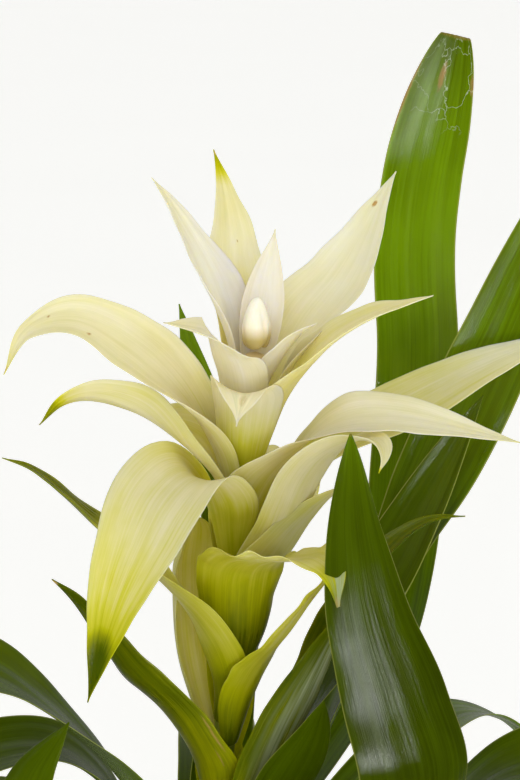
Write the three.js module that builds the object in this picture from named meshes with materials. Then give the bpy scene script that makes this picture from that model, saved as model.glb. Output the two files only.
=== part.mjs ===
// A flowering guzmania lifted out of its pot with its root ball. Millimetres, +Z up.
// The origin is the centre of the flat underside of the root ball.
// The camera side of the plant is -Y, and azimuth 0 points along +X, turning towards +Y.

import * as THREE from "three";
import { mergeVertices } from "three/addons/utils/BufferGeometryUtils.js";

// Driving dimensions

const rootBallHeight = 95;
const rootBallTopRadius = 52;
const rootBallFootRadius = 42;
const seatGap = 0.3; // air between the root ball and the stem's foot
const plantLean = 4.5; // degrees, the whole plant leans towards +X

const budTop = 332; // height of the tallest flower bud above the soil
const bladeThickness = 0.8;
const baseClearance = 0.35; // from the stem's skin to the inner face of a leaf base

// Radius of the stem against height above the soil: a stout crown, then a slim flower stalk.
const stemProfile = [
  [0, 18],
  [6, 17.4],
  [62, 6.6],
  [80, 5],
  [120, 4.6],
  [285, 4.6],
  [300, 5.6],
  [311, 6.4],
];

const stemTop = stemProfile[stemProfile.length - 1][0] + 1; // its rounded end rises 1 mm

// Outline kinds: how the half width runs from base to tip.
// base: width at the foot as a share of the greatest, peak: where the greatest lies along the
// blade, fall and point: how the margins close towards the tip.
const bractOutline = { base: 0.85, peak: 0.34, fall: 1.7, point: 1.2 };
const flaredOutline = { base: 0.9, peak: 0.52, fall: 1.6, point: 1.4 };
const leafOutline = { base: 0.95, peak: 0.5, fall: 2.4, point: 1.0 };
const bluntOutline = { base: 0.9, peak: 0.6, fall: 3.6, point: 0.5 };
const squareOutline = { base: 0.9, peak: 0.6, fall: 3, point: 1.2 };
const wedgeOutline = { base: 1, peak: 0.12, fall: 1, point: 0.8 };
const lippedOutline = { base: 0.9, peak: 0.7, fall: 1.15, point: 1.7 };
const tonguedOutline = { base: 0.9, peak: 0.42, fall: 1.2, point: 1.5 };
const lanceOutline = { base: 0.95, peak: 0.42, fall: 1.8, point: 0.8 };

// The feet of the rosette's leaves nest inside each other, so they share their first points:
// [distance outwards from the foot, height above it].
const leafSheath = [[3.2, 13], [7.5, 28]];

const bractRows = 11;
const leafRows = 14;
const bractFacets = 6;
const leafFacets = 4;
const clasping = [0.1, 0.5]; // the share of the blade's length over which the foot's hold opens
const rowCrowding = 1.3; // above 1 the cross-sections stand closer together near the foot
const lastRow = 0.985; // the share of the blade's length where its last cross-section lies
const mergeDistance = 0.001;

// Colours

const cream = 0xf1ead0;
const paleYellow = 0xe3dfa6;
const yellowGreen = 0xa9ac3e;
const leafGreen = 0x2f5a1c;
const stalkGreen = 0x8a9440;
const peatBrown = 0x3b2c20;

// Blades
// Each blade starts on the stem at height base above the soil. Its route is a list of
// [distance from the stem's axis, height above the soil, sideways shift] along the midrib,
// in the upright plane that its azimuth names. wrap is the half angle, in degrees, by which
// the foot clasps the stem, cup the half angle of the blade's trough, and twist turns the
// blade about its own midrib between the foot and the tip.

const innerBracts = [
  { azimuth: 80, base: 303, width: 22, wrap: 70, cup: 38, twist: 0,
    route: [[11, 318], [16, 338], [22, 350], [27, 361]] },
  { azimuth: 333, base: 297, width: 20, wrap: 70, cup: 35, twist: 0,
    route: [[13, 311], [20, 321], [28, 327]] },
  { azimuth: 160, base: 290, width: 36, wrap: 62, cup: 25, twist: -12,
    route: [[10, 308], [16, 324, -1], [27, 344, -3], [38, 360, -3], [46, 371, -2], [54, 380, -1]] },
  { azimuth: 112, base: 283, width: 31, wrap: 58, cup: 22, twist: 0,
    route: [[13, 304], [21, 325], [32, 342], [45, 357, -3], [59, 373, -4], [72, 390, -2]] },
  { azimuth: 42, base: 276, width: 44, wrap: 66, cup: 25, twist: 14,
    route: [[14, 300], [27, 324, -2], [44, 342, -3], [56, 358, -2], [65, 371], [77, 388, 1]] },
  { azimuth: 232, base: 268, width: 38, wrap: 70, cup: 32, twist: -22, outline: flaredOutline,
    turnSpan: [0.45, 0.8],
    route: [[12, 288], [16, 302], [23, 314], [34, 322], [49, 325, -12]] },
  { azimuth: 337, base: 259, width: 38, wrap: 56, cup: 30, twist: 22, turnSpan: [0.22, 0.6],
    route: [[11, 276], [17, 292, -1], [28, 310, -3], [40, 324, -4], [56, 335, -2], [78, 345]] },
  { azimuth: 255, base: 250, width: 39, wrap: 58, cup: 44, twist: 0, outline: lippedOutline,
    route: [[14, 272], [19, 287, 1], [23, 296, 2], [28, 296, 3], [30, 283, 2]] },
];

const middleBracts = [
  { azimuth: 182, base: 242, width: 41, wrap: 78, cup: 25, twist: -42,
    route: [[15, 268, 3], [27, 287, 5], [52, 309, 5], [78, 320, 2], [98, 312, -3], [107, 292, -4]] },
  { azimuth: 98, base: 237, width: 30, wrap: 40, cup: 30, twist: 0,
    route: [[14, 256], [26, 266], [40, 266], [52, 256], [58, 242]] },
  { azimuth: 335, base: 231, width: 36, wrap: 76, cup: 30, twist: 32,
    route: [[16, 254], [32, 278, -5], [49, 289, -6], [69, 292], [93, 290, 7], [117, 286, 19]] },
  { azimuth: 192, base: 225, width: 54, wrap: 50, cup: 32, twist: 40, turnSpan: [0.3, 0.7],
    route: [[11, 247], [20, 263, -1], [35, 271, -5], [53, 281, -9], [69, 285, -12], [80, 282, -13],
      [89, 272, -15]] },
  { azimuth: 12, base: 220, width: 38, wrap: 72, cup: 25, twist: 35,
    route: [[16, 242], [42, 272], [74, 291], [101, 307], [127, 319], [150, 323]] },
  { azimuth: 70, base: 215, width: 32, wrap: 66, cup: 30, twist: 0,
    route: [[20, 238], [42, 250], [66, 254], [88, 242], [102, 220]] },
  { azimuth: 216, base: 208, width: 50, wrap: 82, cup: 25, twist: -34, turnSpan: [0.26, 0.6],
    route: [[13, 235], [21, 249, 4], [34, 260, 8], [52, 252, 13], [66, 232, 17], [74, 210, 16],
      [82, 167, 13]] },
  { azimuth: 102, base: 203, width: 24, wrap: 60, cup: 30, twist: 0,
    route: [[16, 222], [28, 236], [40, 241], [50, 236], [56, 224]] },
  { azimuth: 322, base: 202, width: 38, wrap: 76, cup: 30, twist: 0, outline: squareOutline,
    route: [[24, 235], [38, 264, -4], [50, 277, -6], [62, 284, -4], [72, 283, -3], [75, 277, -6],
      [73, 270, -12]] },
  { azimuth: 345, base: 195, width: 38, wrap: 72, cup: 35, twist: 0,
    route: [[22, 222], [31, 240], [42, 256], [58, 264]] },
];

const lowerBracts = [
  { azimuth: 74, base: 188, width: 30, wrap: 64, cup: 30, twist: 0,
    route: [[20, 210], [38, 224], [58, 228], [76, 218], [88, 200]] },
  { azimuth: 288, base: 164, width: 46, wrap: 78, cup: 30, twist: 10, turnSpan: [0.5, 0.8],
    outline: tonguedOutline,
    route: [[15, 187, -1], [20, 205, -3], [28, 220, -5], [42, 228, -4], [59, 232, 2], [73, 235, 7],
      [84, 233, 9], [91, 224, 9]] },
  { azimuth: 222, base: 146, width: 40, wrap: 56, cup: 28, twist: -36,
    route: [[9, 163, 4], [18, 179, 8], [29, 197, 6], [40, 214, -8], [49, 226, -24],
      [57, 235, -34], [65, 245, -45], [74, 254, -56], [82, 257, -66]] },
  { azimuth: 92, base: 142, width: 24, wrap: 56, cup: 35, twist: 0,
    route: [[12, 160], [18, 180], [25, 200], [33, 212]] },
  { azimuth: 318, base: 136, width: 30, wrap: 60, cup: 35, twist: 20,
    route: [[14, 160, -4], [25, 180, -6], [39, 197, -8], [50, 213, -9], [60, 226, -10],
      [70, 240, -11]] },
  { azimuth: 150, base: 128, width: 42, wrap: 50, cup: 50, twist: 0, outline: bluntOutline,
    route: [[9, 140], [17, 156], [23, 172], [27, 192], [29, 214], [25, 234]] },
  { azimuth: 85, base: 122, width: 24, wrap: 56, cup: 35, twist: 0,
    route: [[13, 142], [23, 160], [35, 170], [47, 166]] },
  { azimuth: 345, base: 116, width: 27, wrap: 56, cup: 30, twist: 46,
    route: [[17, 136], [26, 154], [35, 173], [44, 194], [57, 221, 3], [70, 238, 8], [82, 246, 12],
      [95, 248, 15]] },
  { azimuth: 210, base: 106, width: 48, wrap: 92, cup: 32, twist: 20, outline: wedgeOutline,
    route: [[14, 127, 4], [22, 140, 8], [34, 156, 9], [52, 173, 6], [65, 190, 1], [77, 205, -4],
      [86, 213, -8]] },
  { azimuth: 94, base: 97, width: 26, wrap: 56, cup: 32, twist: 0,
    route: [[14, 114], [24, 130], [32, 142], [38, 150]] },
  { azimuth: 330, base: 88, width: 40, wrap: 52, cup: 35, twist: -15,
    route: [[20, 118, -2], [32, 147, -4], [43, 173, -5], [52, 197, -4], [60, 220, -3]] },
];

const rosetteLeaves = [
  { azimuth: 355, base: 64, width: 32, wrap: 46, twist: 65,
    route: [[36, 150, 2], [58, 204, 7], [80, 254, 18], [99, 297, 24]] },
  { azimuth: 303, base: 61, width: 28, wrap: 27, twist: -20,
    route: [[30, 113, 5], [43, 136, 9], [53, 155, 10], [60, 172, 9]] },
  { azimuth: 100, base: 58, width: 28, wrap: 46, twist: -10,
    route: [[38, 126, -6], [53, 168, -8], [61, 210, -8], [67, 248], [74, 282, 11], [80, 318, 22]] },
  { azimuth: 8, base: 55, width: 40, wrap: 36, twist: 72,
    route: [[42, 136], [67, 206, 7], [82, 241, 14], [108, 309, 20], [122, 350, 21],
      [138, 396, 21], [158, 436, 21]] },
  { azimuth: 312, base: 51.5, width: 54, wrap: 38, twist: -28, outline: lanceOutline,
    route: [[32, 102, 3], [60, 118, 8], [95, 124, 12], [110, 148, 10], [102, 182, 1], [92, 216, -9],
      [84, 248, -13], [73, 290, -11]] },
  { azimuth: 38, base: 48.5, width: 38, wrap: 38, twist: 48, outline: bluntOutline,
    route: [[54, 130, -6], [82, 177, -12], [99, 255, 4], [103, 308, 11], [102, 350, 18],
      [105, 387, 20], [110, 449, 12]] },
  { azimuth: 212, base: 45.5, width: 44, twist: -30,
    route: [[36, 102, 20], [58, 127, 20], [77, 148, 13], [96, 165, 5], [112, 176, -3],
      [134, 182, -13], [166, 166, -30], [194, 126, -46]] },
  { azimuth: 92, base: 43, width: 38, wrap: 34, twist: 0,
    route: [[46, 96], [92, 110], [140, 102], [186, 68], [215, 22]] },
  { azimuth: 192, base: 40, width: 42, twist: -20,
    route: [[36, 92, 2], [54, 118], [74, 131, -3], [98, 128, -9], [128, 108, -16],
      [170, 60, -24]] },
  { azimuth: 345, base: 37, width: 42, twist: 40,
    route: [[56, 90], [92, 112, 2], [126, 142, 8], [158, 149, 14], [200, 114, 20], [232, 56, 24]] },
  { azimuth: 160, base: 34, width: 40, twist: 0,
    route: [[56, 78], [104, 90], [156, 78], [200, 38], [228, -12]] },
  { azimuth: 38, base: 31, width: 38, wrap: 34, twist: 0,
    route: [[58, 76, 4], [118, 108, 16], [164, 122, 24], [198, 112, 24], [224, 88, 22]] },
  { azimuth: 240, base: 28, width: 40, twist: 0,
    route: [[64, 78], [116, 106], [146, 132, -6], [152, 156], [148, 182, 14]] },
  { azimuth: 110, base: 25, width: 40, twist: 0,
    route: [[66, 66], [120, 68], [170, 48], [212, 8], [236, -42]] },
  { azimuth: 292, base: 22, width: 40, twist: 0,
    route: [[64, 66], [114, 74], [164, 58], [202, 20], [222, -32]] },
  { azimuth: 328, base: 19, width: 38, twist: 0,
    route: [[70, 58], [124, 62], [172, 44], [210, 2], [230, -50]] },
  { azimuth: 15, base: 16, width: 40, twist: 0,
    route: [[70, 56], [126, 62], [178, 42], [218, 0], [240, -50]] },
  { azimuth: 140, base: 13, width: 38, twist: 0,
    route: [[70, 48], [122, 50], [168, 26], [204, -16], [222, -64]] },
  { azimuth: 262, base: 10, width: 38, twist: 0,
    route: [[68, 42], [116, 40], [160, 14], [192, -28], [206, -74]] },
  { azimuth: 215, base: 7, width: 36, twist: 0,
    route: [[68, 34], [114, 30], [154, 4], [184, -36], [196, -78]] },
  { azimuth: 65, base: 4, width: 36, twist: 0,
    route: [[68, 30], [112, 26], [150, 0], [178, -38], [190, -78]] },
];

// Shared arithmetic

const radians = (degrees) => (degrees * Math.PI) / 180;

function stemRadius(height) {
  for (let i = 1; i < stemProfile.length; i += 1) {
    const [lowHeight, lowRadius] = stemProfile[i - 1];
    const [highHeight, highRadius] = stemProfile[i];
    if (height <= highHeight) {
      const share = (height - lowHeight) / (highHeight - lowHeight);
      return lowRadius + share * (highRadius - lowRadius);
    }
  }
  return stemProfile[stemProfile.length - 1][1];
}

function solidFrom(positions, faces) {
  const geometry = new THREE.BufferGeometry();
  geometry.setAttribute("position", new THREE.Float32BufferAttribute(positions.flat(), 3));
  geometry.setIndex(faces.flat());
  return geometry;
}

// The smaller of two lengths with a rounded changeover.
function softLeast(a, b) {
  const sharpness = 6;
  return (a ** -sharpness + b ** -sharpness) ** (-1 / sharpness);
}

// Share of the greatest half width at u, from the foot at 0 to the tip at 1.
function outlineShare(outline, u) {
  if (u < outline.peak) {
    const rise = Math.sin((Math.PI / 2) * (u / outline.peak));
    return outline.base + (1 - outline.base) * rise;
  }
  const run = (u - outline.peak) / (1 - outline.peak);
  return (1 - run ** outline.fall) ** outline.point;
}

// The midrib as a smooth curve through the foot on the stem and the route's points.
function midrib(blade) {
  const angle = radians(blade.azimuth);
  const outward = new THREE.Vector3(Math.cos(angle), Math.sin(angle), 0);
  const sideways = new THREE.Vector3(-Math.sin(angle), Math.cos(angle), 0);
  const footRadius = stemRadius(blade.base) + baseClearance + bladeThickness / 2;
  const foot = [[0, 0], ...blade.sheath].map(([spread, rise]) =>
    [footRadius + spread, blade.base + rise]);
  const points = [...foot, ...blade.route].map(([reach, height, shift = 0]) =>
    new THREE.Vector3(0, 0, height)
      .addScaledVector(outward, reach)
      .addScaledVector(sideways, shift));
  return { curve: new THREE.CatmullRomCurve3(points, false, "centripetal"), sideways };
}

// Cross-section of a blade at u: where it lies, how wide it is and how deeply it is troughed.
function bladeSection(blade, rib, u) {
  const centre = rib.curve.getPointAt(u);
  const along = rib.curve.getTangentAt(u);
  const across = rib.sideways.clone().addScaledVector(along, -rib.sideways.dot(along)).normalize();
  const inward = along.clone().cross(across);
  const turn = radians(blade.twist) * THREE.MathUtils.smoothstep(u, ...blade.turnSpan);
  const turnedAcross = across.clone().multiplyScalar(Math.cos(turn))
    .addScaledVector(inward, Math.sin(turn));
  const turnedInward = along.clone().cross(turnedAcross);
  const axisDistance = Math.hypot(centre.x, centre.y);
  const freeHalfWidth = (blade.width / 2) * outlineShare(blade.outline, u);
  const halfWidth = softLeast(freeHalfWidth, radians(blade.wrap) * axisDistance);
  const opening = THREE.MathUtils.smoothstep(u, ...clasping);
  const trough = THREE.MathUtils.lerp(Math.min(blade.clasp, blade.wrap), blade.cup, opening);
  const halfAngle = Math.max(radians(trough), halfWidth / axisDistance);
  return { centre, across: turnedAcross, inward: turnedInward, halfWidth, halfAngle };
}

// A closed thin shell: rings of the lower and the upper face, a cap at the foot, a pointed tip.
function bladeGeometry(blade, rows, facets) {
  const rib = midrib(blade);
  const positions = [];
  const ringSize = 2 * facets;
  for (let row = 0; row < rows; row += 1) {
    const section = bladeSection(blade, rib, (row / (rows - 1)) ** rowCrowding * lastRow);
    const bendRadius = section.halfWidth / section.halfAngle;
    const facePoint = (step, offset) => {
      const angle = section.halfAngle * ((2 * step) / facets - 1);
      const radius = bendRadius + offset;
      const point = section.centre.clone()
        .addScaledVector(section.across, radius * Math.sin(angle))
        .addScaledVector(section.inward, bendRadius - radius * Math.cos(angle));
      positions.push(point.toArray());
    };
    facePoint(0, 0);
    for (let step = 1; step < facets; step += 1) facePoint(step, bladeThickness / 2);
    facePoint(facets, 0);
    for (let step = facets - 1; step > 0; step -= 1) facePoint(step, -bladeThickness / 2);
  }
  positions.push(rib.curve.getPointAt(1).toArray());

  // Each skew cell is split along the same diagonal on both faces, so that where the blade
  // twists the thin shell keeps its thickness.
  const faces = [];
  for (let row = 0; row < rows - 1; row += 1) {
    for (let corner = 0; corner < ringSize; corner += 1) {
      const here = row * ringSize + corner;
      const next = row * ringSize + ((corner + 1) % ringSize);
      const above = here + ringSize;
      const nextAbove = next + ringSize;
      if (corner < facets) faces.push([here, next, nextAbove], [here, nextAbove, above]);
      else faces.push([here, next, above], [next, nextAbove, above]);
    }
  }
  for (let step = 0; step < facets; step += 1) {
    const upper = (ringSize - step) % ringSize;
    const upperNext = ringSize - step - 1;
    if (step > 0) faces.push([step, upper, upperNext]);
    if (step < facets - 1) faces.push([step, upperNext, step + 1]);
  }
  const apex = rows * ringSize;
  const lastRing = (rows - 1) * ringSize;
  for (let corner = 0; corner < ringSize; corner += 1) {
    faces.push([lastRing + corner, lastRing + ((corner + 1) % ringSize), apex]);
  }
  return solidFrom(positions, faces);
}

// Pieces

function named(name, geometry, color, roughness) {
  const material = new THREE.MeshStandardMaterial({ color, roughness, metalness: 0 });
  const mesh = new THREE.Mesh(geometry, material);
  mesh.name = name;
  return mesh;
}

// Peat bound by roots in the shape of the pot it grew in: a flat foot, lumpy sides and a
// worn upper edge. The middle of its top is flat, where the crown of the plant sits.
function rootBall() {
  const sides = 36;
  const crownRadius = 22;
  // Height, radius and how lumpy the side is there, from 0 to 1
  const levels = [
    [0, rootBallFootRadius - 3, 0],
    [3, rootBallFootRadius, 0.4],
    [24, rootBallFootRadius + 3.2, 1],
    [46, rootBallFootRadius + 5.6, 1],
    [68, rootBallFootRadius + 8, 1],
    [82, rootBallTopRadius, 1],
    [90, rootBallTopRadius - 2.5, 0.8],
    [94, rootBallTopRadius - 9, 0.5],
    [rootBallHeight - seatGap, crownRadius, 0],
  ];
  const lumpDepth = 1.3;
  const lumpWaves = [
    { count: 5, climb: 11, start: 0 },
    { count: 3, climb: -17, start: 1 },
  ];
  const positions = [];
  for (const [height, radius, lumpiness] of levels) {
    for (let side = 0; side < sides; side += 1) {
      const angle = (side / sides) * 2 * Math.PI;
      const lump = lumpWaves.reduce((sum, wave) =>
        sum + Math.sin(wave.count * angle + height / wave.climb + wave.start), 0);
      const reach = radius + lumpDepth * lumpiness * lump;
      positions.push([reach * Math.cos(angle), reach * Math.sin(angle), height]);
    }
  }
  const foot = positions.length;
  positions.push([0, 0, 0], [0, 0, rootBallHeight - seatGap]);
  const faces = [];
  const lastLevel = (levels.length - 1) * sides;
  for (let side = 0; side < sides; side += 1) {
    const next = (side + 1) % sides;
    for (let level = 0; level < lastLevel; level += sides) {
      faces.push([level + side, level + next, level + sides + next]);
      faces.push([level + side, level + sides + next, level + sides + side]);
    }
    faces.push([foot, next, side], [foot + 1, lastLevel + side, lastLevel + next]);
  }
  return solidFrom(positions, faces);
}

// A closed turned solid, standing along +Z.
function turned(profile, sides) {
  const geometry = new THREE.LatheGeometry(profile, sides);
  geometry.deleteAttribute("normal");
  geometry.deleteAttribute("uv");
  geometry.rotateX(Math.PI / 2);
  return mergeVertices(geometry, mergeDistance);
}

// Crown and flower stalk in one piece. Its foot is cut level with the soil, so the lowest
// ring follows the lean.
function flowerStem() {
  const sides = 16;
  const outline = stemProfile.map(([height, radius]) => new THREE.Vector2(radius, height));
  const profile = [new THREE.Vector2(0, 0), ...outline, new THREE.Vector2(0, stemTop)];
  const geometry = turned(profile, sides);
  const points = geometry.getAttribute("position");
  const slope = Math.tan(radians(plantLean));
  for (let i = 0; i < points.count; i += 1) {
    if (Math.abs(points.getZ(i)) < mergeDistance) points.setZ(i, points.getX(i) * slope);
  }
  return geometry;
}

// A closed flower bud: stout low down, drawn out to a point.
function flowerBud(height, radius) {
  const sides = 12;
  const steps = 8;
  const lowness = 0.8; // under 1 the greatest girth lies below the middle
  const fullness = 0.7; // under 1 the sides bulge
  const profile = [];
  for (let i = 0; i <= steps; i += 1) {
    const share = i / steps;
    const girth = Math.sin(Math.PI * share ** lowness) ** fullness;
    profile.push(new THREE.Vector2(i === 0 || i === steps ? 0 : radius * girth, share * height));
  }
  return turned(profile, sides);
}

const plant = new THREE.Group();
plant.position.z = rootBallHeight;
plant.rotation.y = radians(plantLean);

plant.add(named("flower_stem", flowerStem(), stalkGreen, 0.6));

const buds = [
  { name: "front_flower_bud", x: -0.8, y: -3.8, height: budTop - stemTop, radius: 5.2 },
  { name: "left_flower_bud", x: -3.8, y: 3.9, height: 16, radius: 2.4 },
  { name: "right_flower_bud", x: 3.6, y: 3.7, height: 14, radius: 2.4 },
];
for (const bud of buds) {
  const mesh = named(bud.name, flowerBud(bud.height, bud.radius), cream, 0.5);
  mesh.position.set(bud.x, bud.y, stemTop);
  plant.add(mesh);
}

function addBlades(label, blades, defaults, rows, facets, color, roughness) {
  blades.forEach((blade, index) => {
    const geometry = bladeGeometry({ ...defaults, ...blade }, rows, facets);
    const number = String(index + 1).padStart(2, "0");
    plant.add(named(`${label}_${number}`, geometry, color, roughness));
  });
}

const bractDefaults = { outline: bractOutline, clasp: 62, turnSpan: [0.15, 0.6], sheath: [] };
const leafDefaults = {
  outline: leafOutline,
  wrap: 42,
  clasp: 30,
  cup: 22,
  turnSpan: [0.28, 0.7],
  sheath: leafSheath,
};
addBlades("inner_bract", innerBracts, bractDefaults, bractRows, bractFacets, cream, 0.45);
addBlades("middle_bract", middleBracts, bractDefaults, bractRows, bractFacets, paleYellow, 0.45);
addBlades("lower_bract", lowerBracts, bractDefaults, bractRows, bractFacets, yellowGreen, 0.4);
addBlades("rosette_leaf", rosetteLeaves, leafDefaults, leafRows, leafFacets, leafGreen, 0.3);

const guzmania = new THREE.Group();
guzmania.add(named("root_ball", rootBall(), peatBrown, 0.95));
guzmania.add(plant);

export default guzmania;
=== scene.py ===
import math
import random

import bpy
import numpy as np
from mathutils import Matrix, Vector, noise


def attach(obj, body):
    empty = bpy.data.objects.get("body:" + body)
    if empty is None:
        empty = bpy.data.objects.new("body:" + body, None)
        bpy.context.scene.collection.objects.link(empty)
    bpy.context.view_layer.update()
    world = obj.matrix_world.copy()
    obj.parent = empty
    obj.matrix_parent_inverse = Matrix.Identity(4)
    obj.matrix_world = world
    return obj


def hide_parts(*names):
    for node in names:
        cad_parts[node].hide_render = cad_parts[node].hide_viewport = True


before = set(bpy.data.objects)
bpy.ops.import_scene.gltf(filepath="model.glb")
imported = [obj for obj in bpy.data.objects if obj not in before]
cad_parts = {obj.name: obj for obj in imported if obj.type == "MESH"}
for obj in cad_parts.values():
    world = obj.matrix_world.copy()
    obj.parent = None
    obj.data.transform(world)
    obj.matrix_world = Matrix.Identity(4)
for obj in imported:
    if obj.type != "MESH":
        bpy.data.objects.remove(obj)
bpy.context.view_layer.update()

# A guzmania in flower with its root ball. Metres, +Z up, the camera looks along +Y.
# Routes and widths of leaves and bracts are in millimetres, and mm turns them into metres.

mm = 0.001
soilHeight = 95 * mm
lean = 4.5  # degrees, towards +X
plantPlace = Matrix.Translation((0, 0, soilHeight)) @ Matrix.Rotation(math.radians(lean), 4, "Y")
scene = bpy.context.scene
print("frame loaded:", len(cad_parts), "nodes")


# Nodes

def setInputs(node, values):
    # socket name or number -> a value or another node's output
    for key, value in values.items():
        if isinstance(value, bpy.types.NodeSocket):
            node.id_data.links.new(value, node.inputs[key])
        else:
            node.inputs[key].default_value = value


def addNode(tree, kind, inputs=None, **settings):
    made = tree.nodes.new("ShaderNode" + kind)
    for key, value in settings.items():
        setattr(made, key, value)
    setInputs(made, inputs or {})
    return made


def stretched(tree, mapName, scale):
    # the piece's own map, drawn out by scale
    own = addNode(tree, "UVMap", uv_map=mapName)
    return addNode(tree, "Mapping", {"Vector": own.outputs["UV"], "Scale": scale}).outputs["Vector"]


def grain(tree, vector, scale, detail=3.0, roughness=0.55, distortion=0.0):
    made = addNode(tree, "TexNoise", {"Vector": vector, "Scale": scale, "Detail": detail,
                                      "Roughness": roughness, "Distortion": distortion})
    return made.outputs["Fac"]


def veinGrain(tree, stretch, scale=1.0, **values):
    return grain(tree, stretched(tree, "veins", stretch), scale, **values)


def maths(tree, operation, first, second=0.0, third=0.0):
    made = addNode(tree, "Math", {0: first, 1: second, 2: third}, operation=operation)
    return made.outputs["Value"]


def product(tree, first, second):
    return maths(tree, "MULTIPLY", first, second)


def summed(tree, first, *others):
    for other in others:
        first = maths(tree, "ADD", first, other)
    return first


def swing(tree, value, amount):
    # 0 to 1 becomes -amount to amount
    return maths(tree, "MULTIPLY_ADD", value, amount * 2, -amount)


def painted(tree, name):
    return addNode(tree, "Attribute", attribute_name=name, attribute_type="GEOMETRY").outputs["Fac"]


def ramp(tree, factor, stops):
    made = addNode(tree, "ValToRGB", {"Fac": factor})
    elements = made.color_ramp.elements
    while len(elements) < len(stops):
        elements.new(0.5)
    for element, (position, colour) in zip(elements, stops):
        element.position = position
        element.color = (*colour, 1)
    return made.outputs["Color"]


def blended(tree, factor, first, second):
    colours = [value if isinstance(value, bpy.types.NodeSocket) else (*value, 1) for value in (first, second)]
    made = addNode(tree, "Mix", {0: factor, 6: colours[0], 7: colours[1]}, data_type="RGBA")
    return made.outputs[2]


def ranged(tree, value, fromLow, fromHigh, toLow, toHigh):
    made = addNode(tree, "MapRange", {"Value": value, "From Min": fromLow, "From Max": fromHigh,
                                      "To Min": toLow, "To Max": toHigh})
    return made.outputs["Result"]


def bumped(tree, height, distance, strength=1.0):
    made = addNode(tree, "Bump", {"Height": height, "Strength": strength, "Distance": distance})
    return made.outputs["Normal"]


def newFinish(name):
    material = bpy.data.materials.new(name)
    material.use_nodes = True
    return material, material.node_tree, material.node_tree.nodes["Principled BSDF"]


# Camera, light and floor

cameraLook = {"place": (0.0264, -1.1325, 0.5877), "tilt": 80, "lens": 123.4}

bpy.ops.object.select_all(action="DESELECT")
bpy.ops.object.camera_add(location=cameraLook["place"], rotation=(math.radians(cameraLook["tilt"]), 0, 0))
camera = bpy.context.object
camera.data.lens = cameraLook["lens"]
camera.data.sensor_width = 36
camera.data.clip_end = 100
scene.camera = camera

skyLook = {
    "colour": (1.0, 1.0, 0.99, 1), "warmth": (1.0, 0.97, 0.89, 1), "strength": 0.42, "backdrop": 0.96,
    "mirror": 0.32, "mirrorSpan": (0.2, 0.9),
}

world = bpy.data.worlds.new("studio")
scene.world = world
world.use_nodes = True
tree = world.node_tree
ambient = tree.nodes["Background"]
setInputs(ambient, {"Color": skyLook["warmth"], "Strength": skyLook["strength"]})
backdrop = addNode(tree, "Background", {"Color": skyLook["colour"], "Strength": skyLook["backdrop"]})
# the dark side of the room, behind the camera, is what upright leaves mirror
direction = addNode(tree, "TexCoord").outputs["Generated"]
depth = addNode(tree, "SeparateXYZ", {"Vector": direction}).outputs["Y"]
brightness = ranged(tree, depth, *skyLook["mirrorSpan"], 0.0, skyLook["mirror"])
mirrored = addNode(tree, "Background", {"Color": skyLook["colour"], "Strength": brightness})
ray = addNode(tree, "LightPath")
bounced = addNode(tree, "MixShader", {"Fac": ray.outputs["Is Glossy Ray"], 1: ambient.outputs["Background"],
                                      2: mirrored.outputs["Background"]})
either = addNode(tree, "MixShader", {"Fac": ray.outputs["Is Camera Ray"], 1: bounced.outputs["Shader"],
                                     2: backdrop.outputs["Background"]})
setInputs(tree.nodes["World Output"], {"Surface": either.outputs["Shader"]})
scene.view_settings.view_transform = "Standard"

# Wide lamps shape the plant and stay out of the mirror of the leaves; the narrow strips are
# what the leaves mirror. The fills cast no shadow and stand for the light that comes
# through the thin bracts. Bearing is counted from +X, angles in degrees.
lamps = [
    {"name": "topLamp", "bearing": -100, "elevation": 70, "spread": 44, "power": 0.12, "shadow": True},
    {"name": "frontLamp", "bearing": -88, "elevation": 8, "spread": 30, "power": 0.5, "shadow": True},
    {"name": "leftFill", "bearing": -140, "elevation": 30, "spread": 60, "power": 0.55, "shadow": False},
    {"name": "lowFill", "bearing": -80, "elevation": -14, "spread": 60, "power": 0.5, "shadow": False},
    {"name": "rightLamp", "bearing": -48, "elevation": 14, "spread": 20, "power": 0.4, "shadow": True},
    {"name": "backLamp", "bearing": 65, "elevation": 42, "spread": 60, "power": 0.4, "shadow": True},
]
strips = [  # place: distance from the stalk, height
    {"name": "leftStrip", "bearing": -89, "place": (1.3, 0.11), "size": (0.015, 0.22), "power": 0.6},
    {"name": "middleStrip", "bearing": -74, "place": (1.3, 0.11), "size": (0.036, 0.22), "power": 1.45},
    {"name": "rightStrip", "bearing": -58, "place": (1.3, 0.11), "size": (0.013, 0.22), "power": 0.55},
    {"name": "highStrip", "bearing": -115, "place": (1.2, 1.3), "size": (0.7, 0.2), "power": 1.5},
]


def heading(bearing, elevation=0):
    bearing, elevation = math.radians(bearing), math.radians(elevation)
    return Vector((math.cos(bearing) * math.cos(elevation), math.sin(bearing) * math.cos(elevation),
                   math.sin(elevation)))


def addLight(kind, look, place, towards):
    turn = towards.to_track_quat("Z", "Y").to_euler()
    bpy.ops.object.light_add(type=kind, location=place, rotation=turn)
    light = bpy.context.object
    light.name = look["name"]
    light.data.energy = look["power"]
    return light


for lamp in lamps:
    towards = heading(lamp["bearing"], lamp["elevation"])
    light = addLight("SUN", lamp, towards * 3, towards)
    light.visible_glossy = False
    light.data.angle = math.radians(lamp["spread"])
    light.data.use_shadow = lamp["shadow"]

stripAim = Vector((0.03, 0, 0.34))
for strip in strips:
    distance, height = strip["place"]
    place = heading(strip["bearing"]) * distance + Vector((0, 0, height))
    light = addLight("AREA", strip, place, place - stripAim)
    light.data.shape = "RECTANGLE"
    light.data.size, light.data.size_y = strip["size"]

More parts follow.
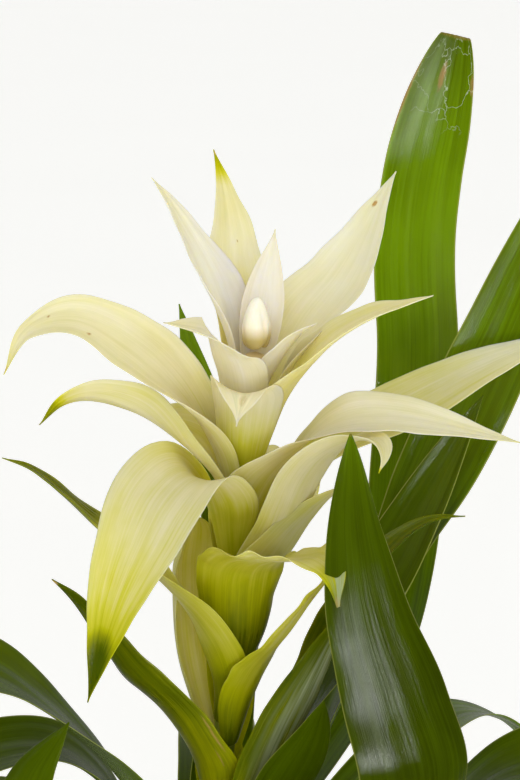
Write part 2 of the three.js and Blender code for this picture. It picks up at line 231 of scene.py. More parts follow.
floorLook = {
    "size": 120, "colour": (0.915, 0.93, 0.94), "cloud": (0.90, 0.915, 0.925),
    "roughness": 0.85, "glow": 0.36,
}

bpy.ops.object.select_all(action="DESELECT")
bpy.ops.mesh.primitive_plane_add(size=floorLook["size"], location=(0, 0, 0))
studioFloor = bpy.context.object
studioFloor.name = "studioFloor"
studioFloor.visible_glossy = False

floorFinish, tree, skin = newFinish("paleStudioFloor")
floorPlace = addNode(tree, "TexCoord").outputs["Object"]
tint = ranged(tree, grain(tree, floorPlace, 1.4, 3), 0.3, 0.7, 0.0, 1.0)
setInputs(skin, {
    "Base Color": blended(tree, tint, floorLook["colour"], floorLook["cloud"]),
    "Normal": bumped(tree, grain(tree, floorPlace, 240, 2), 0.001, 0.05),
    "Roughness": floorLook["roughness"], "Emission Color": (1, 1, 1, 1),
    "Emission Strength": floorLook["glow"],
})
studioFloor.data.materials.append(floorFinish)
print("camera, light and floor ready")


# Bract skin: cream to olive by the painted amount of green, with lengthwise veins,
# faint clouds and dry spots

creamToOlive = [
    (0.00, (0.960, 0.862, 0.700)),
    (0.14, (0.850, 0.750, 0.540)),
    (0.30, (0.715, 0.640, 0.355)),
    (0.42, (0.625, 0.572, 0.180)),
    (0.52, (0.535, 0.508, 0.040)),
    (0.64, (0.395, 0.405, 0.001)),
    (0.76, (0.230, 0.258, 0.001)),
    (0.88, (0.100, 0.138, 0.001)),
    (1.00, (0.042, 0.078, 0.001)),
]

bractTones = {
    "blush": (0.86, 0.66, 0.50), "dryDark": (0.30, 0.15, 0.035), "dryLight": (0.60, 0.40, 0.16),
    # powder: pale powder together with a painted sheen of reflected light
    "powderAndSheen": (0.36, 0.42, 0.24),
}

# noises drawn out along the veins
bractGrains = {
    "streaks": {"stretch": (2.2, 0.10, 1), "detail": 4, "roughness": 0.6, "distortion": 0.2},
    "clouds": {"stretch": (1.0, 0.45, 1), "scale": 0.8, "detail": 3, "roughness": 0.5},
    "veins": {"stretch": (11.0, 0.22, 1), "detail": 3, "roughness": 0.6},
    "pores": {"stretch": (30.0, 12.0, 1), "detail": 2, "roughness": 0.5},
    "blush": {"stretch": (0.8, 0.3, 1), "scale": 1.7, "detail": 2},
    "frays": {"stretch": (9.0, 4.0, 1), "detail": 4},
}

bractLooks = {
    "creamBract": {"shift": {"streaks": 0.10, "clouds": 0.10, "veins": 0.07}, "roughness": (0.36, 0.52),
                   "scatter": 0.9, "gloss": 0.16},
    "paleBract": {"shift": {"streaks": 0.14, "clouds": 0.12, "veins": 0.09}, "roughness": (0.34, 0.50),
                  "scatter": 0.85, "gloss": 0.16},
    "greenBract": {"shift": {"streaks": 0.14, "clouds": 0.10, "veins": 0.10}, "roughness": (0.30, 0.46),
                   "scatter": 0.7, "gloss": 0.42},
}


def shifted(tree, green, grains, amounts):
    # the painted green, stirred by the noises
    swings = [swing(tree, grains[kind], amount) for kind, amount in amounts.items()]
    return summed(tree, green, summed(tree, *swings))


def dryPlaces(tree, frays, raggedness):
    # the painted dry spots, with frayed margins
    dry = painted(tree, "dry")
    frayed = product(tree, swing(tree, frays, raggedness), dry)
    return ranged(tree, summed(tree, dry, frayed), 0.25, 0.7, 0.0, 1.0)


def bractFinish(name, look):
    material, tree, skin = newFinish(name)
    grains = {kind: veinGrain(tree, **values) for kind, values in bractGrains.items()}
    green = painted(tree, "green")
    stirred = shifted(tree, green, grains, look["shift"])
    colour = ramp(tree, stirred, creamToOlive)

    blush = ranged(tree, grains["blush"], 0.5, 0.75, 0.0, 0.14)
    blush = product(tree, blush, ranged(tree, green, 0.2, 0.5, 1.0, 0.0))
    colour = blended(tree, blush, colour, bractTones["blush"])  # a faint warm tinge
    dryness = dryPlaces(tree, grains["frays"], 0.65)
    dryColour = blended(tree, grains["veins"], bractTones["dryDark"], bractTones["dryLight"])
    colour = blended(tree, dryness, colour, dryColour)
    # where the scuff paint lies, long bands of pale powder; on the leafy lower bract they are a painted sheen
    # of reflected light
    powderAndSheen = product(tree, painted(tree, "scuffAndSheen"), ranged(tree, grains["streaks"], 0.38, 0.6, 0.0, 1.0))
    colour = blended(tree, powderAndSheen, colour, bractTones["powderAndSheen"])  # pale powder and painted sheen in long bands

    low, high = look["roughness"]
    rough = summed(tree, ranged(tree, grains["clouds"], 0.3, 0.7, low, high), product(tree, dryness, 0.25))
    rough = maths(tree, "SUBTRACT", rough, ranged(tree, stirred, 0.78, 0.95, 0.0, 0.24))
    relief = summed(tree, product(tree, grains["veins"], 0.8), product(tree, grains["pores"], 0.25))
    setInputs(skin, {
        "Base Color": colour, "Roughness": rough, "Normal": bumped(tree, relief, 0.00009),
        "Specular IOR Level": look["gloss"], "Subsurface Weight": look["scatter"],
        "Subsurface Radius": (1.0, 0.85, 0.35), "Subsurface Scale": 0.004,
    })
    return material


# Leaf skin: dark green and glossy, with fine parallel veins, a thin pale edge,
# faint pale bands and scorched places

leafLook = {
    "dark": (0.028, 0.043, 0.0004), "mid": (0.064, 0.103, 0.0004), "light": (0.150, 0.265, 0.002),
    "edge": (0.36, 0.38, 0.08), "dryDark": (0.16, 0.085, 0.006), "dryLight": (0.42, 0.27, 0.06),
    "crack": (0.62, 0.66, 0.48), "shift": {"streaks": 0.3, "clouds": 0.25, "veins": 0.25}, "scatter": 0.12,
}
leafGrains = {
    "streaks": {"stretch": (3.2, 0.05, 1), "detail": 5, "roughness": 0.65},
    "veins": {"stretch": (10.0, 0.08, 1), "detail": 4, "roughness": 0.7},
    "clouds": {"stretch": (0.5, 0.22, 1), "detail": 3, "roughness": 0.5},
    "pores": {"stretch": (40.0, 16.0, 1), "detail": 2, "roughness": 0.5},
    "frays": {"stretch": (7.0, 3.0, 1), "detail": 4},
}


def leafCracks(tree):
    # pale lines in the scuffed places
    place = stretched(tree, "veins", (0.55, 0.5, 1))
    bent = addNode(tree, "TexNoise", {"Vector": place, "Scale": 2.5, "Detail": 3.0}).outputs["Color"]
    place = addNode(tree, "VectorMath", {0: bent, 1: place}, operation="ADD").outputs["Vector"]
    cells = addNode(tree, "TexVoronoi", {"Vector": place, "Scale": 1.0}, feature="DISTANCE_TO_EDGE")
    lines = ranged(tree, cells.outputs["Distance"], 0.006, 0.018, 1.0, 0.0)
    return product(tree, lines, painted(tree, "scuffAndSheen"))


def leafFinish(name, look):
    material, tree, skin = newFinish(name)
    grains = {kind: veinGrain(tree, **values) for kind, values in leafGrains.items()}
    stirred = shifted(tree, painted(tree, "green"), grains, look["shift"])
    colour = ramp(tree, stirred, [(0.0, look["dark"]), (0.5, look["mid"]), (1.0, look["light"])])
    edge = ranged(tree, painted(tree, "edge"), 0.965, 0.99, 0.0, 0.6)
    colour = blended(tree, edge, colour, look["edge"])
    dryness = dryPlaces(tree, grains["frays"], 0.7)
    colour = blended(tree, dryness, colour, blended(tree, grains["veins"], look["dryDark"], look["dryLight"]))
    colour = blended(tree, leafCracks(tree), colour, look["crack"])

    streakRough = ranged(tree, grains["streaks"], 0.3, 0.7, 0.02, 0.06)
    veinRough = ranged(tree, grains["veins"], 0.4, 0.65, 0.0, 0.12)
    rough = summed(tree, streakRough, veinRough, product(tree, dryness, 0.4))
    relief = summed(tree, product(tree, grains["veins"], 1.0), product(tree, grains["streaks"], 1.4),
                    product(tree, grains["pores"], 0.22))
    setInputs(skin, {
        "Base Color": colour, "Roughness": rough, "Normal": bumped(tree, relief, 0.00013),
        "Specular IOR Level": 0.5, "Subsurface Weight": look["scatter"],
        "Subsurface Radius": (0.7, 1.0, 0.02), "Subsurface Scale": 0.001,
    })
    return material


finishes = {name: bractFinish(name, look) for name, look in bractLooks.items()}
finishes["strapLeaf"] = leafFinish("strapLeaf", leafLook)
print("finishes for bracts and leaves ready")


# Blades: every bract and leaf starts as a flat grid that is laid along its midrib,
# troughed across, given a wall and smoothed

stemProfile = [(0, 18), (6, 17.4), (62, 6.6), (80, 5), (120, 4.6), (285, 4.6), (300, 5.6), (311, 6.4)]
footDistance = 0.75  # mm from the stalk's skin to the middle of a foot's wall
claspSpan = (0.1, 0.5)  # share of a blade over which its foot opens to its trough
freeSpan = (0.12, 0.4)  # share of a blade over which it comes free of the stalk
rowCrowding = 1.2  # above 1 the rows stand closer near the tip
bractOutline = {"base": 0.85, "peak": 0.34, "fall": 1.7, "point": 1.2}
flaredOutline = {"base": 0.9, "peak": 0.52, "fall": 1.6, "point": 1.4}
leafOutline = {"base": 0.95, "peak": 0.5, "fall": 2.4, "point": 1.0}
bluntOutline = {"base": 0.9, "peak": 0.6, "fall": 3.6, "point": 0.5}
squareOutline = {"base": 0.9, "peak": 0.56, "fall": 2.2, "point": 1.5}
wedgeOutline = {"base": 1.0, "peak": 0.12, "fall": 1.0, "point": 0.8}
lippedOutline = {"base": 0.9, "peak": 0.7, "fall": 1.15, "point": 1.7}
tonguedOutline = {"base": 0.9, "peak": 0.42, "fall": 1.7, "point": 1.35}
lanceOutline = {"base": 0.95, "peak": 0.42, "fall": 1.8, "point": 0.8}


def mixed(low, high, share):
    return low + (high - low) * share


def eased(value, low, high):
    share = min(1.0, max(0.0, (value - low) / (high - low)))
    return share * share * (3 - 2 * share)


def stemRadius(height):
    heights, radii = zip(*stemProfile)
    return float(np.interp(height, heights, radii))


def outlineShare(outline, along):
    if along < outline["peak"]:
        return mixed(outline["base"], 1, math.sin(math.pi / 2 * along / outline["peak"]))
    run = (along - outline["peak"]) / (1 - outline["peak"])
    end = outline.get("end", 0.0)
    return end + (1 - end) * max(0.0, 1 - run ** outline["fall"]) ** outline["point"]


def routeLine(points, steps=24):
    # a smooth line through the points, as many small steps
    ends = [points[0] * 2 - points[1], *points, points[-1] * 2 - points[-2]]
    line = []
    for before, start, end, after in zip(ends, ends[1:], ends[2:], ends[3:]):
        a, b, c = ((q - p).length ** 0.5 for p, q in ((before, start), (start, end), (end, after)))
        leave = ((start - before) / a - (end - before) / (a + b) + (end - start) / b) * b
        arrive = ((end - start) / b - (after - start) / (b + c) + (after - end) / c) * b
        for step in range(steps):
            t = step / steps
            line.append(start + leave * t + (3 * (end - start) - 2 * leave - arrive) * t * t
                        + (2 * (start - end) + leave + arrive) * t ** 3)
    line.append(points[-1].copy())
    return line


class Midrib:
    def __init__(self, blade):
        angle = math.radians(blade["azimuth"])
        outward = Vector((math.cos(angle), math.sin(angle), 0))
        self.sideways = Vector((-math.sin(angle), math.cos(angle), 0))
        footRadius = stemRadius(blade["base"]) + footDistance
        foot = [(footRadius + spread, blade["base"] + rise) for spread, rise in [(0, 0), *blade["sheath"]]]
        points = []
        for reach, height, *shift in foot + blade["route"]:
            side = shift[0] if shift else 0
            points.append(outward * reach + self.sideways * side + Vector((0, 0, height)))
        self.line = routeLine(points)
        self.run = [0.0]
        for here, there in zip(self.line, self.line[1:]):
            self.run.append(self.run[-1] + (there - here).length)
        self.length = self.run[-1]

    def at(self, share):
        wanted = min(max(share, 0.0), 1.0) * self.length
        index = min(int(np.searchsorted(self.run, wanted)), len(self.run) - 1)
        index = max(index, 1)
        part = (wanted - self.run[index - 1]) / (self.run[index] - self.run[index - 1])
        return self.line[index - 1].lerp(self.line[index], part)

    def along(self, share):
        return (self.at(share + 0.004) - self.at(share - 0.004)).normalized()


def bladeSection(blade, rib, share):
    centre, along = rib.at(share), rib.along(share)
    across = (rib.sideways - along * rib.sideways.dot(along)).normalized()
    inward = along.cross(across)
    turn = math.radians(blade["twist"]) * eased(share, *blade["turnSpan"])
    turnedAcross = across * math.cos(turn) + inward * math.sin(turn)
    axisDistance = math.hypot(centre.x, centre.y)
    wide = max(blade["width"] / 2 * outlineShare(blade["outline"], share), 0.3)
    room = math.radians(blade["wrap"]) * axisDistance
    halfWidth = (wide ** -6 + room ** -6) ** (-1 / 6)
    trough = mixed(min(blade["clasp"], blade["wrap"]), blade["cup"], eased(share, *claspSpan))
    halfAngle = max(math.radians(trough), halfWidth / axisDistance)
    return centre, turnedAcross, along.cross(turnedAcross), halfWidth, halfAngle


def crossLine(blade, halfAngle, share, columns):
    # the section's own line in half widths, from its heading: trough, midrib fold and rolled margins
    steps = columns * 4
    free = eased(share, *freeSpan)
    sides = []
    for side, roll in ((-1, blade["rolls"][0]), (1, blade["rolls"][1])):
        x = y = 0.0
        line = [(x, y)]
        for step in range(steps // 2):
            s = (step + 0.5) / (steps // 2)
            heading = halfAngle * s + math.radians(blade["fold"]) * free * eased(s, 0, 0.12)
            heading += math.radians(roll) * free * eased(s, 0.55, 1.0)
            x += math.cos(heading) * 2 / steps
            y += math.sin(heading) * 2 / steps
            line.append((side * x, y))
        sides.append(line[::4])
    return [*reversed(sides[0]), *sides[1][1:]]


def nearness(place, along, across):
    # 0 in the middle of a pull or mark, 1 at its half length or half width
    lengthwise = (along - place["along"]) / place["length"]
    sideways = (across - place["across"]) / place["width"]
    return lengthwise ** 2 + sideways ** 2


def bladeMesh(name, blade):
    bpy.ops.object.select_all(action="DESELECT")
    rows, columns = blade["rows"], blade["columns"]
    bpy.ops.mesh.primitive_grid_add(x_subdivisions=columns, y_subdivisions=rows, size=1)
    piece = bpy.context.object
    piece.name = piece.data.name = name
    body = piece.vertex_groups.new(name="body")
    rib = Midrib(blade)
    seed = blade["seed"]
    sections = []
    for row in range(rows + 1):
        share = 1 - (1 - row / rows) ** rowCrowding
        centre, across, inward, halfWidth, halfAngle = bladeSection(blade, rib, share)
        line = crossLine(blade, halfAngle, share, columns)
        sections.append((share, centre, across, inward, halfWidth, line))
    for vertex in piece.data.vertices:
        row = round((vertex.co.y + 0.5) * rows)
        column = round((vertex.co.x + 0.5) * columns)
        share, centre, across, inward, halfWidth, line = sections[row]
        s = column / columns * 2 - 1
        x, y = line[column]
        free = eased(share, *freeSpan)
        run = share * rib.length
        wave = noise.noise(Vector((run / blade["wave"], math.copysign(7.3, s), seed)))
        ripple = blade["ripple"] * abs(s) ** 3 * wave
        pleat = blade["pleat"] * noise.noise(Vector((s * blade["pleats"], run / 90, seed + 31)))
        sway = 1 + 0.03 * noise.noise(Vector((run / 26, math.copysign(3.1, s), seed + 17)))
        lift = (ripple + pleat) * free * min(1.0, halfWidth / 6)
        place = centre + across * x * halfWidth * sway + inward * (y * halfWidth + lift)
        for pull in blade["pulls"]:
            near = nearness(pull, share, s)
            place += Vector(pull["by"]) * math.exp(-near)
        vertex.co = place * mm
        thin = min(1.0, 1.35 - abs(s) ** 4) * min(1.0, 0.35 + halfWidth / 5)
        body.add([vertex.index], max(0.25, thin), "REPLACE")
    return piece, rib


def applied(piece, kind, **settings):
    modifier = piece.modifiers.new(kind.title(), kind)
    for key, value in settings.items():
        setattr(modifier, key, value)
    bpy.ops.object.modifier_apply(modifier=modifier.name)


def paintBlade(piece, blade, length):
    # the painted amounts that the finishes read, and the map that the veins follow
    mesh = piece.data
    corners = len(mesh.loops)
    vertexOf = np.empty(corners, int)
    mesh.loops.foreach_get("vertex_index", vertexOf)
    flat = np.empty(corners * 2)
    mesh.uv_layers[0].uv.foreach_get("vector", flat)
    across = flat[0::2] * 2 - 1
    along = 1 - (1 - np.clip(flat[1::2], 0, 1)) ** rowCrowding
    veins = mesh.uv_layers.new(name="veins")
    spread = np.empty(corners * 2)
    spread[0::2] = across * blade["width"] / 20
    spread[1::2] = along * length / 10 + blade["seed"] * 11.7
    veins.uv.foreach_set("vector", spread)

    alongs, greens = zip(*blade["green"])
    green = np.interp(along, alongs, greens)
    dry = np.zeros(corners)
    scuffAndSheen = np.zeros(corners)
    for patch in blade["patches"]:
        amount = np.clip(1.25 - nearness(patch, along, across), 0, 1) * patch["amount"]
        if patch["kind"] == "dry":
            dry = np.maximum(dry, amount)
        elif patch["kind"] == "scuffAndSheen":
            scuffAndSheen = np.maximum(scuffAndSheen, amount)
        else:
            green = green + amount
    values = {"green": green, "dry": dry, "scuffAndSheen": scuffAndSheen, "edge": np.abs(across)}
    for name, cornerValues in values.items():
        perVertex = np.zeros(len(mesh.vertices), np.float32)
        perVertex[vertexOf] = cornerValues
        mesh.attributes.new(name, "FLOAT", "POINT").data.foreach_set("value", perVertex)


def makeBlade(name, node, finish, blade):
    piece, rib = bladeMesh(name, blade)
    applied(piece, "SOLIDIFY", thickness=blade["thickness"] * mm, offset=0, vertex_group="body",
            thickness_vertex_group=0.3)
    applied(piece, "SUBSURF", levels=1, render_levels=1)
    paintBlade(piece, blade, rib.length)
    piece.vertex_groups.clear()
    piece.data.transform(plantPlace)
    bpy.ops.object.shade_smooth()
    piece.data.materials.append(finishes[finish])
    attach(piece, "root")
    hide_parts(node)


def makeTier(blades, finish, nodeName, defaults, firstSeed):
    for index, blade in enumerate(blades):
        label = f"{index + 1:02d}"
        whole = {**defaults, "seed": firstSeed + index, **blade}
        makeBlade(finish + label, nodeName + label, finish, whole)
    print(finish, "pieces made:", len(blades))


def pulled(along, across, length, width, by):
    # a place that is moved by so many mm: along from 0 at the foot to 1, across from -1 to 1
    return {"along": along, "across": across, "length": length, "width": width, "by": by}


def mark(kind, along, across, length, width, amount):
    # a painted dry, scuff or green place; on bracts a scuff place is pale powder and painted sheen
    return {"kind": kind, "along": along, "across": across, "length": length, "width": width,
            "amount": amount}


bladeDefaults = {
    "sheath": [], "outline": bractOutline, "clasp": 62, "twist": 0, "turnSpan": (0.15, 0.6), "rolls": (0, 0),
    "fold": 0,
    "ripple": 1.6, "wave": 14, "pleat": 0.5, "pleats": 3.0, "thickness": 0.7, "patches": [], "pulls": [],
    "rows": 44, "columns": 16,
}


# Upper tier: cream bracts round the buds

innerBracts = [
    {"azimuth": 80, "base": 303, "width": 22, "wrap": 70, "cup": 38,
     "route": [(11, 318), (16, 338), (22, 350), (27, 361)],
     "green": [(0, 0.2), (0.4, 0.03), (0.9, 0.06), (1, 0.25)]},
    {"azimuth": 333, "base": 297, "width": 20, "wrap": 70, "cup": 35,
     "route": [(13, 311), (20, 321), (28, 327)],
     "green": [(0, 0.25), (0.5, 0.05), (1, 0.12)]},
    {"azimuth": 160, "base": 290, "width": 36, "wrap": 62, "cup": 25, "twist": -12,
     "route": [(10, 308), (16, 324, -1), (27, 344, -3), (38, 360, -3), (46, 371, -2), (54, 380, -1)],
     "green": [(0, 0.3), (0.3, 0.08), (0.6, 0.03), (0.9, 0.12), (1, 0.25)]},
    {"azimuth": 112, "base": 283, "width": 31, "wrap": 58, "cup": 22,
     "route": [(13, 304), (21, 325), (32, 342), (45, 357, -3), (59, 373, -4), (72, 390, -2)],
     "green": [(0, 0.45), (0.3, 0.26), (0.6, 0.2), (0.85, 0.27), (0.92, 0.62), (1, 0.84)],
     "patches": [mark("dry", 0.62, -0.2, 0.006, 0.05, 0.8),
                 mark("dry", 0.985, 0.0, 0.012, 1.0, 0.7)]},
    {"azimuth": 42, "base": 276, "width": 44, "wrap": 84, "cup": 25, "twist": 14,
     "route": [(14, 300), (27, 324, -2), (44, 342, -3), (56, 358, -2), (65, 371), (77, 388, 1)],
     "green": [(0, 0.45), (0.3, 0.2), (0.7, 0.13), (0.95, 0.18), (1, 0.25)],
     "patches": [mark("dry", 0.865, 0.25, 0.016, 0.22, 0.8)]},
    {"azimuth": 232, "base": 268, "width": 38, "wrap": 70, "cup": 32, "twist": -22, "outline": flaredOutline,
     "turnSpan": (0.45, 0.8),
     "route": [(12, 288), (16, 302), (23, 314), (34, 322), (49, 325, -12)],
     "green": [(0, 0.5), (0.3, 0.26), (0.55, 0.16), (0.75, 0.14), (1, 0.25)],
     "pulls": [pulled(0.56, 1.0, 0.24, 0.7, (0, 0, -4.5))]},
    {"azimuth": 337, "base": 259, "width": 38, "wrap": 56, "cup": 30, "twist": 22, "turnSpan": (0.22, 0.6),
     "route": [(11, 276), (17, 292, -1), (28, 310, -3), (40, 324, -4), (56, 335, -2), (78, 345)],
     "green": [(0, 0.55), (0.35, 0.36), (0.7, 0.3), (1, 0.26)],
     "pulls": [pulled(0.3, 1.0, 0.2, 0.7, (-3, 0, 5))]},
    {"azimuth": 255, "base": 250, "width": 39, "wrap": 58, "cup": 44,
     "outline": lippedOutline,
     "route": [(14, 272), (19, 287, 1), (23, 296, 2), (28, 296, 3), (30, 283, 2)],
     "green": [(0, 0.7), (0.2, 0.6), (0.42, 0.44), (0.6, 0.32), (0.74, 0.24), (0.8, 0.22), (1, 0.22)],
     "patches": [mark("dry", 0.84, 0.1, 0.05, 0.3, 0.42),
                 mark("scuffAndSheen", 0.86, 0.0, 0.1, 0.6, 0.4)]},
]

makeTier(innerBracts, "creamBract", "inner_bract_", bladeDefaults, 1)


# Second tier: pale bracts that arch outwards

middleBracts = [
    {"azimuth": 182, "base": 242, "width": 41, "wrap": 78, "cup": 25, "twist": -42, "rolls": (34, 0),
     "route": [(15, 268, 3), (27, 287, 5), (52, 309, 5), (78, 320, 2), (98, 312, -3), (107, 292, -4)],
     "green": [(0, 0.56), (0.2, 0.36), (0.4, 0.24), (0.6, 0.22), (0.9, 0.25), (1, 0.42)],
     "patches": [mark("dry", 0.66, 0.55, 0.010, 0.10, 0.7),
                 mark("dry", 0.79, -0.2, 0.007, 0.10, 0.6),
                 mark("dry", 0.985, 0.0, 0.014, 1.0, 0.7)]},
    {"azimuth": 98, "base": 237, "width": 30, "wrap": 40, "cup": 30,
     "route": [(14, 256), (26, 266), (40, 266), (52, 256), (58, 242)],
     "green": [(0, 0.5), (0.4, 0.25), (1, 0.3)]},
    {"azimuth": 335, "base": 231, "width": 36, "wrap": 76, "cup": 30, "twist": 32,
     "route": [(16, 254), (32, 278, -5), (49, 289, -6), (69, 292), (93, 290, 7), (117, 286, 19)],
     "green": [(0, 0.52), (0.12, 0.46), (0.3, 0.3), (0.5, 0.18), (0.9, 0.18), (1, 0.36)],
     "pulls": [pulled(0.17, -1.0, 0.15, 0.9, (-10, -4, 2))]},
    {"azimuth": 192, "base": 225, "width": 54, "wrap": 50, "cup": 32, "twist": 40, "turnSpan": (0.3, 0.7),
     "route": [(11, 247), (20, 263, -1), (35, 271, -5), (53, 281, -9), (69, 285, -12), (80, 282, -13),
               (89, 272, -15)],
     "green": [(0, 0.5), (0.3, 0.4), (0.6, 0.33), (0.8, 0.28), (0.86, 0.4), (0.91, 0.74), (1, 0.88)],
     "pulls": [pulled(0.42, -1.0, 0.28, 0.8, (4, 0, 14)),
               pulled(0.3, 1.0, 0.18, 0.7, (5, -5, -12))]},
    {"azimuth": 12, "base": 220, "width": 38, "wrap": 72, "cup": 25, "twist": 35,
     "route": [(16, 242), (42, 272), (74, 291), (101, 307), (127, 319), (150, 323)],
     "green": [(0, 0.55), (0.35, 0.4), (0.6, 0.36), (0.85, 0.24), (1, 0.3)]},
    {"azimuth": 70, "base": 215, "width": 32, "wrap": 66, "cup": 30,
     "route": [(20, 238), (42, 250), (66, 254), (88, 242), (102, 220)],
     "green": [(0, 0.55), (0.4, 0.35), (1, 0.35)]},
    {"azimuth": 216, "base": 208, "width": 50, "wrap": 82, "cup": 25, "twist": -34, "turnSpan": (0.26, 0.6),
     "route": [(13, 235), (21, 249, 4), (34, 260, 8), (52, 252, 13), (66, 232, 17), (74, 210, 16),
               (82, 167, 13)],
     "green": [(0, 0.64), (0.2, 0.55), (0.32, 0.38), (0.42, 0.28), (0.6, 0.37), (0.74, 0.47),
               (0.82, 0.6), (0.88, 0.72), (1, 0.8)],
     "patches": [mark("green", 0.92, -0.1, 0.10, 1.0, 0.28)]},
    {"azimuth": 102, "base": 203, "width": 24, "wrap": 60, "cup": 30,
     "route": [(16, 222), (28, 236), (40, 241), (50, 236), (56, 224)],
     "green": [(0, 0.6), (1, 0.4)]},
    {"azimuth": 322, "base": 202, "width": 38, "wrap": 76, "cup": 30, "outline": squareOutline,
     "route": [(24, 235), (38, 264, -4), (50, 277, -6), (62, 284, -4), (71, 284, -4), (76, 279, -7),
               (77, 273, -11)],
     "ripple": 0.6,
     "green": [(0, 0.54), (0.25, 0.42), (0.5, 0.3), (0.7, 0.28), (0.975, 0.3), (1, 0.8)]},
    {"azimuth": 345, "base": 195, "width": 38, "wrap": 72, "cup": 35,
     "route": [(22, 222), (31, 240), (41, 254), (52, 260)],
     "green": [(0, 0.62), (0.3, 0.5), (0.6, 0.4), (1, 0.36)],
     "pulls": [pulled(0.42, -1.0, 0.42, 0.9, (-11, -6, 0))]},
]

makeTier(middleBracts, "paleBract", "middle_bract_", bladeDefaults, 21)


# Third tier: yellow-green bracts low on the stalk, the lowest ones leafy

lowerBracts = [
    {"azimuth": 74, "base": 188, "width": 30, "wrap": 64, "cup": 30,
     "route": [(20, 210), (38, 224), (58, 228), (76, 218), (88, 200)],
     "green": [(0, 0.65), (1, 0.55)]},
    {"azimuth": 288, "base": 164, "width": 46, "wrap": 78, "cup": 30, "twist": 10, "turnSpan": (0.5, 0.8),
     "outline": tonguedOutline,
     "route": [(15, 187, -1), (20, 205, -3), (28, 220, -5), (42, 228, -4), (59, 233, 3), (72, 236, 8),
               (82, 232, 12), (88, 221, 14)],
     # darker olive at the foot: the bract's own green and painted shade of the axil
     "green": [(0, 0.98), (0.14, 0.92), (0.3, 0.7), (0.48, 0.54), (0.68, 0.4), (0.84, 0.46),
               (0.92, 0.7), (1, 0.9)],
     "ripple": 4.2, "wave": 7,
     "pulls": [pulled(0.8, 1.0, 0.16, 0.9, (5, 0, 3))],
     "patches": [mark("dry", 0.99, 0.0, 0.03, 1.2, 0.5),
                 mark("scuffAndSheen", 0.94, 0.3, 0.07, 0.8, 0.9)]},
    {"azimuth": 222, "base": 146, "width": 40, "wrap": 56, "cup": 28, "twist": -36,
     "route": [(9, 163, 4), (18, 179, 8), (29, 197, 6), (40, 214, -8), (49, 226, -24), (57, 235, -34),
               (65, 245, -45), (74, 254, -56), (82, 257, -66)],
     "green": [(0, 0.92), (0.14, 0.76), (0.3, 0.52), (0.55, 0.4), (0.66, 0.52), (0.72, 0.84), (1, 0.9)]},
    {"azimuth": 92, "base": 142, "width": 24, "wrap": 56, "cup": 35,
     "route": [(12, 160), (18, 180), (25, 200), (33, 212)],
     "green": [(0, 0.7), (1, 0.6)]},
    {"azimuth": 318, "base": 136, "width": 30, "wrap": 60, "cup": 35, "twist": 20,
     "route": [(14, 160, -4), (25, 180, -6), (39, 197, -8), (50, 213, -9), (60, 226, -10), (70, 240, -11)],
     "green": [(0, 0.9), (0.14, 0.78), (0.3, 0.62), (0.6, 0.5), (1, 0.5)], "ripple": 2.6, "wave": 10,
     "patches": [mark("dry", 0.76, -0.3, 0.012, 0.18, 0.6)]},
    {"azimuth": 150, "base": 128, "width": 42, "wrap": 50, "cup": 50, "outline": bluntOutline,
     "route": [(9, 140), (17, 156), (23, 172), (27, 192), (29, 214), (25, 234)],
     "green": [(0, 0.46), (0.3, 0.42), (0.7, 0.4), (1, 0.44)]},
    {"azimuth": 85, "base": 122, "width": 24, "wrap": 56, "cup": 35,
     "route": [(13, 142), (23, 160), (35, 170), (47, 166)],
     "green": [(0, 0.75), (1, 0.7)]},
    {"azimuth": 345, "base": 116, "width": 27, "wrap": 56, "cup": 30, "twist": 46,
     "route": [(17, 136), (26, 154), (35, 173), (44, 194), (57, 221, 3), (70, 238, 8), (82, 246, 12),
               (95, 248, 15)],
     "green": [(0, 0.8), (0.5, 0.95), (1, 1)]},
    {"azimuth": 210, "base": 106, "width": 48, "wrap": 92, "cup": 32, "twist": 20, "outline": wedgeOutline,
     "route": [(14, 127, 4), (22, 140, 8), (34, 156, 9), (52, 173, 6), (65, 190, 1), (77, 205, -4),
               (86, 213, -8)],
     "green": [(0, 0.78), (0.25, 0.74), (0.38, 0.8), (0.5, 0.88), (0.8, 0.94), (1, 1)],
     "patches": [mark("dry", 0.33, 0.86, 0.09, 0.05, 0.6),
                 mark("dry", 0.24, 0.7, 0.06, 0.03, 0.5),
                 mark("dry", 0.985, 0.0, 0.014, 1.0, 0.7)]},
    {"azimuth": 94, "base": 97, "width": 26, "wrap": 56, "cup": 32,
     "route": [(14, 114), (24, 130), (32, 142), (38, 150)],
     "green": [(0, 0.78), (1, 0.8)]},
    {"azimuth": 330, "base": 88, "width": 40, "wrap": 52, "cup": 35, "twist": -15,
     "route": [(20, 118, -2), (32, 147, -4), (43, 173, -5), (52, 197, -4), (60, 220, -3)],
     "green": [(0, 0.78), (0.3, 0.86), (1, 0.96)],
     # pale bands of painted sheen along the middle, partly powder
     "patches": [mark("scuffAndSheen", 0.5, 0.1, 0.46, 0.8, 0.95)]},
]

makeTier(lowerBracts, "greenBract", "lower_bract_", bladeDefaults, 41)


# Rosette of strap leaves

leafDefaults = {
    **bladeDefaults, "sheath": [(3.2, 13), (7.5, 28)], "outline": leafOutline, "wrap": 42, "clasp": 30,
    "cup": 22, "turnSpan": (0.28, 0.7), "ripple": 1.2, "wave": 30, "pleat": 0.7, "pleats": 4.0,
    "rows": 60, "green": [(0, 0.7), (0.25, 0.4), (1, 0.35)],
}

